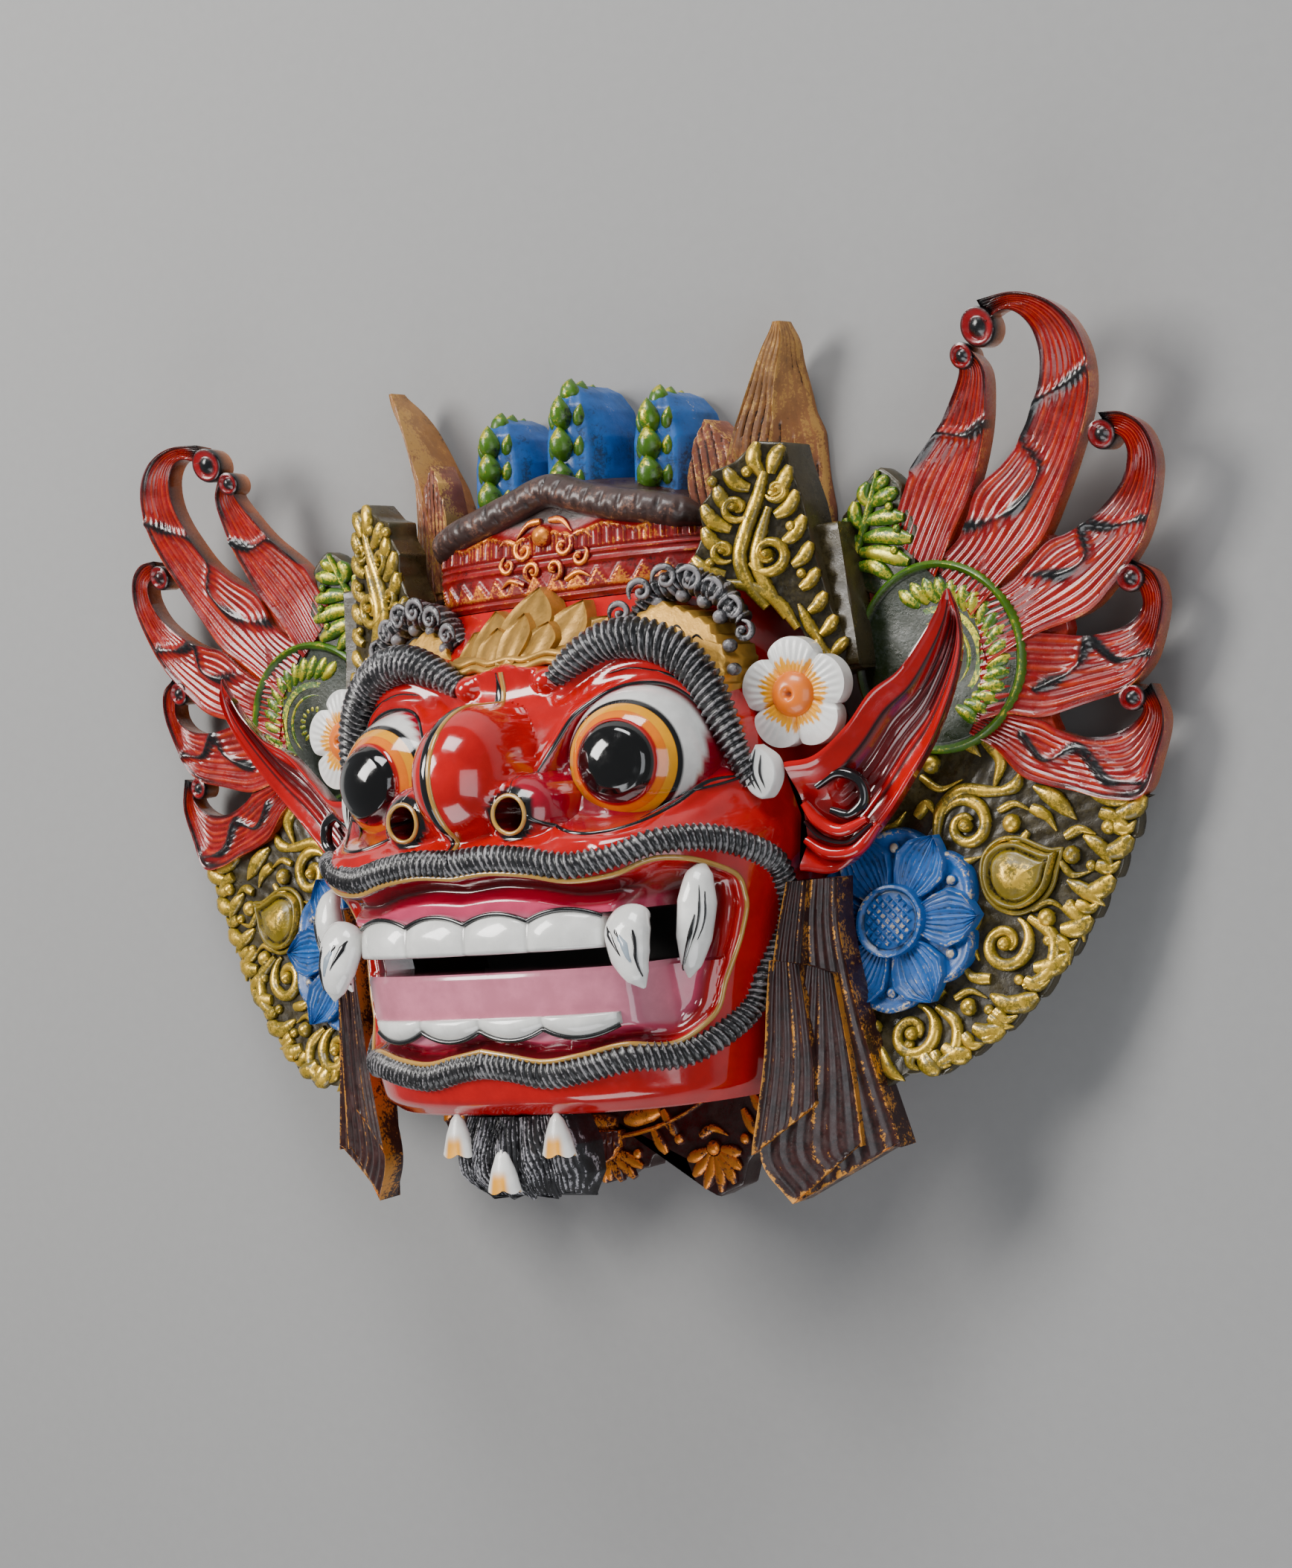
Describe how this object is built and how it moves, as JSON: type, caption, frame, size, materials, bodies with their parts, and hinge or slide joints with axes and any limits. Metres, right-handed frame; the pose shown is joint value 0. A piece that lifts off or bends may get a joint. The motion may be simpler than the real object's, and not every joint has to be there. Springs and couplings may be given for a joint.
{
  "type": "barong mask",
  "caption": "Carved and painted wooden barong mask with bulging eyes, open fanged mouth, crested crown, pointed ears and curled feather wings.",
  "frame": {"origin": "middle of the mask's bounding box on its back plane, the plane it lies on", "axes": "+X across the mask, +Y up the face towards the crown, +Z out of the face"},
  "size_m": [0.443, 0.2942, 0.124],
  "materials": {
    "face": "glossy red lacquer",
    "crown": "satin paint with worn gold",
    "wing": "antique gold and red paint, worn edges",
    "ribbon": "maroon paint with gold edges",
    "ear": "glossy red lacquer with black lines",
    "flower": "white and yellow paint",
    "collar": "dark red paint with gold highlights",
    "beard": "black and silver paint"
  },
  "bodies": {
    "root": {"face": "face", "crown": "crown", "wing_right": "wing", "wing_left": "wing", "ribbon_right": "ribbon", "ribbon_left": "ribbon", "ear_right": "ear", "ear_left": "ear", "flower_right": "flower", "flower_left": "flower", "collar": "collar", "beard": "beard"}
  },
  "joints": []
}
